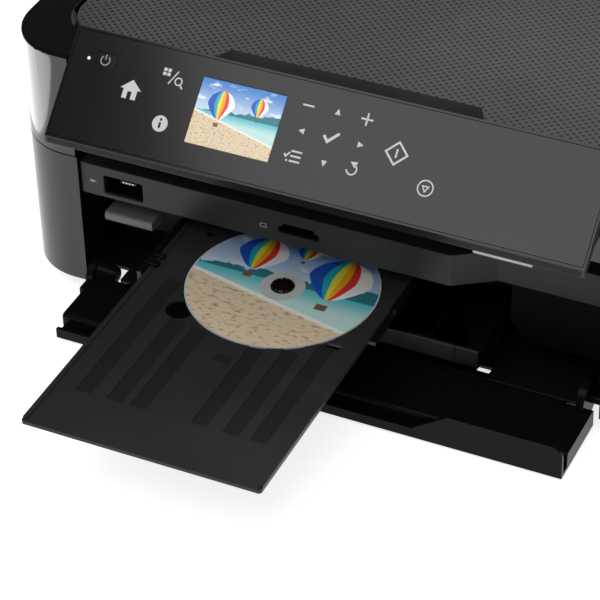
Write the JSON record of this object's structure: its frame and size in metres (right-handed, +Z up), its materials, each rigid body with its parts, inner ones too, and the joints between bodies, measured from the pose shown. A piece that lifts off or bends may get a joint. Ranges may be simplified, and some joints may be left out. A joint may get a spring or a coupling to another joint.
{
  "type": "disc label printer",
  "caption": "Ink-jet printer with a scanner lid, a tilting control panel, a drop-down front cover and a tray that carries a disc in for label printing.",
  "frame": {"origin": "on the surface it stands on, in the middle of the footprint that it takes with the disc tray drawn out", "axes": "+Z up, +Y to the rear, +X to the right of someone who faces the control panel"},
  "size_m": [0.448, 0.575, 0.1949],
  "materials": {
    "dark_base": "dark grey moulding",
    "foot_rubber": "soft black rubber",
    "gloss_black": "smooth gloss black moulding",
    "matte_black": "fine-grained black moulding",
    "bezel_grey": "satin dark grey moulding",
    "inner_black": "plain black moulding",
    "lever_grey": "light grey moulding",
    "bright_steel": "ground steel",
    "sheet_steel": "zinc-plated sheet",
    "roller_grey": "grey coated roller",
    "gear_white": "natural acetal",
    "pinion_brass": "turned brass",
    "cartridge_grey": "black cartridge moulding",
    "belt_rubber": "black rubber",
    "pad_grey": "absorbent felt in a tray",
    "board_green": "green circuit board",
    "bed_glass": "clear float glass",
    "pad_white": "white document pad",
    "panel_gloss": "gloss dark grey face",
    "display_glass": "display window",
    "tray_black": "satin black moulding",
    "disc_print": "printed disc face"
  },
  "bodies": {
    "base": {"base_pan": "dark_base", "feet": "foot_rubber", "left_side_cover": "gloss_black", "right_side_cover": "gloss_black", "rear_cover": "matte_black", "front_bezel": "bezel_grey", "card_socket": "bright_steel", "front_usb_socket": "bright_steel", "right_inner_wall": "inner_black", "lever_housing": "inner_black", "left_frame": "sheet_steel", "right_frame": "sheet_steel", "carriage_rail": "bright_steel", "feed_motor": "sheet_steel", "transport_frame": "inner_black", "platen": "inner_black", "disc_guide": "inner_black", "star_wheel_beam": "inner_black", "chassis_beam": "sheet_steel", "carriage_motor": "sheet_steel", "timing_belt": "belt_rubber", "maintenance_station": "inner_black", "waste_ink_box": "pad_grey", "main_board": "board_green", "power_supply": "inner_black", "power_inlet": "inner_black", "rear_feeder": "inner_black", "unit_hinges": "sheet_steel"},
    "scanner_unit": {"scanner_frame": "gloss_black", "scanner_pan": "inner_black", "scanner_glass": "bed_glass", "scan_rail": "bright_steel", "lid_hinges": "inner_black"},
    "lid": {"document_lid": "matte_black", "lid_pad": "pad_white"},
    "scan_head": {"scan_carriage": "inner_black", "scan_sensor": "bed_glass"},
    "control_panel": {"panel_front": "panel_gloss", "panel_back": "inner_black", "display": "display_glass"},
    "power_key": {"power_button": "panel_gloss"},
    "release_bar": {"release_lever": "lever_grey"},
    "drop_cover": {"front_cover": "inner_black"},
    "tray": {"disc_tray": "tray_black", "disc_hub": "tray_black"},
    "printed_disc": {"disc": "disc_print"},
    "paper_stacker": {"stacker": "inner_black"},
    "tray_lever": {"position_lever": "lever_grey"},
    "ink_carriage": {"carriage": "inner_black", "print_head": "sheet_steel", "ink_cartridges": "cartridge_grey"},
    "feed_shaft": {"feed_roller": "roller_grey"},
    "exit_shaft": {"exit_roller": "roller_grey"},
    "idler": {"idler_gear": "gear_white"},
    "pinion": {"motor_pinion": "pinion_brass"},
    "star_wheel_axle": {"star_wheels": "bright_steel"},
    "belt_pulley": {"idler_pulley": "gear_white"},
    "pickup_shaft": {"pickup_roller": "belt_rubber"},
    "paper_edge_guide": {"edge_guide": "lever_grey"},
    "slot_cover": {"paper_support": "matte_black"}
  },
  "joints": [
    {"name": "scanner_unit_lift", "type": "hinge", "parent": "base", "child": "scanner_unit", "pos_m": [0, 0.1935, 0.17], "axis": [-1, 0, 0], "range_deg": [0, 30]},
    {"name": "lid_lift", "type": "hinge", "parent": "scanner_unit", "child": "lid", "pos_m": [0, 0.1955, 0.181], "axis": [-1, 0, 0], "range_deg": [0, 72]},
    {"name": "scan_travel", "type": "slide", "parent": "scanner_unit", "child": "scan_head", "axis": [1, 0, 0], "range_m": [0, 0.27]},
    {"name": "panel_tilt", "type": "hinge", "parent": "scanner_unit", "child": "control_panel", "pos_m": [0, -0.0868, 0.1761], "axis": [1, 0, 0], "range_deg": [0, 44]},
    {"name": "power_press", "type": "slide", "parent": "control_panel", "child": "power_key", "axis": [0, 0.6934, -0.7206], "range_m": [0, 0.0008], "stiffness_N_per_m": 600, "springref_m": -0.001},
    {"name": "release_push", "type": "slide", "parent": "control_panel", "child": "release_bar", "axis": [0, 0.7206, 0.6934], "range_m": [0, 0.003], "stiffness_N_per_m": 300, "springref_m": -0.002},
    {"name": "front_cover_swing", "type": "hinge", "parent": "base", "child": "drop_cover", "pos_m": [0, -0.0875, 0.017], "axis": [-1, 0, 0], "range_deg": [0, 45]},
    {"name": "disc_tray_travel", "type": "slide", "parent": "base", "child": "tray", "axis": [0, -1, 0], "range_m": [-0.18, 0]},
    {"name": "disc_lift", "type": "slide", "parent": "tray", "child": "printed_disc", "axis": [0, 0, 1], "range_m": [0, 0.015]},
    {"name": "stacker_travel", "type": "slide", "parent": "base", "child": "paper_stacker", "axis": [0, 1, 0], "range_m": [-0.13, 0]},
    {"name": "lever_swing", "type": "hinge", "parent": "base", "child": "tray_lever", "pos_m": [0, -0.0275, 0.0605], "axis": [1, 0, 0], "range_deg": [-10, 10]},
    {"name": "carriage_travel", "type": "slide", "parent": "base", "child": "ink_carriage", "axis": [-1, 0, 0], "range_m": [0, 0.275]},
    {"name": "feed_spin", "type": "hinge", "parent": "base", "child": "feed_shaft", "pos_m": [0, 0.0545, 0.0512], "axis": [1, 0, 0], "continuous": true},
    {"name": "exit_spin", "type": "hinge", "parent": "base", "child": "exit_shaft", "pos_m": [0, -0.00147, 0.053], "axis": [1, 0, 0], "continuous": true},
    {"name": "idler_spin", "type": "hinge", "parent": "base", "child": "idler", "pos_m": [0, 0.02651, 0.0521], "axis": [1, 0, 0], "continuous": true},
    {"name": "pinion_spin", "type": "hinge", "parent": "base", "child": "pinion", "pos_m": [0, 0.07727, 0.03866], "axis": [1, 0, 0], "continuous": true},
    {"name": "star_wheel_spin", "type": "hinge", "parent": "base", "child": "star_wheel_axle", "pos_m": [0, -0.00447, 0.0686], "axis": [1, 0, 0], "continuous": true},
    {"name": "pulley_spin", "type": "hinge", "parent": "base", "child": "belt_pulley", "pos_m": [0.19, 0.0725, 0.1005], "axis": [0, 0, 1], "continuous": true},
    {"name": "pickup_spin", "type": "hinge", "parent": "base", "child": "pickup_shaft", "pos_m": [0, 0.1725, 0.091], "axis": [1, 0, 0], "continuous": true},
    {"name": "edge_guide_travel", "type": "slide", "parent": "base", "child": "paper_edge_guide", "axis": [-1, 0, 0], "range_m": [0, 0.08]},
    {"name": "slot_cover_lift", "type": "hinge", "parent": "base", "child": "slot_cover", "pos_m": [0, 0.2785, 0.1834], "axis": [-1, 0, 0], "range_deg": [0, 100]}
  ],
  "couplings": [
    {"joint": "exit_spin", "follows": "feed_spin", "ratio": 1},
    {"joint": "idler_spin", "follows": "feed_spin", "ratio": -2.5},
    {"joint": "pinion_spin", "follows": "feed_spin", "ratio": -3.3333}
  ]
}
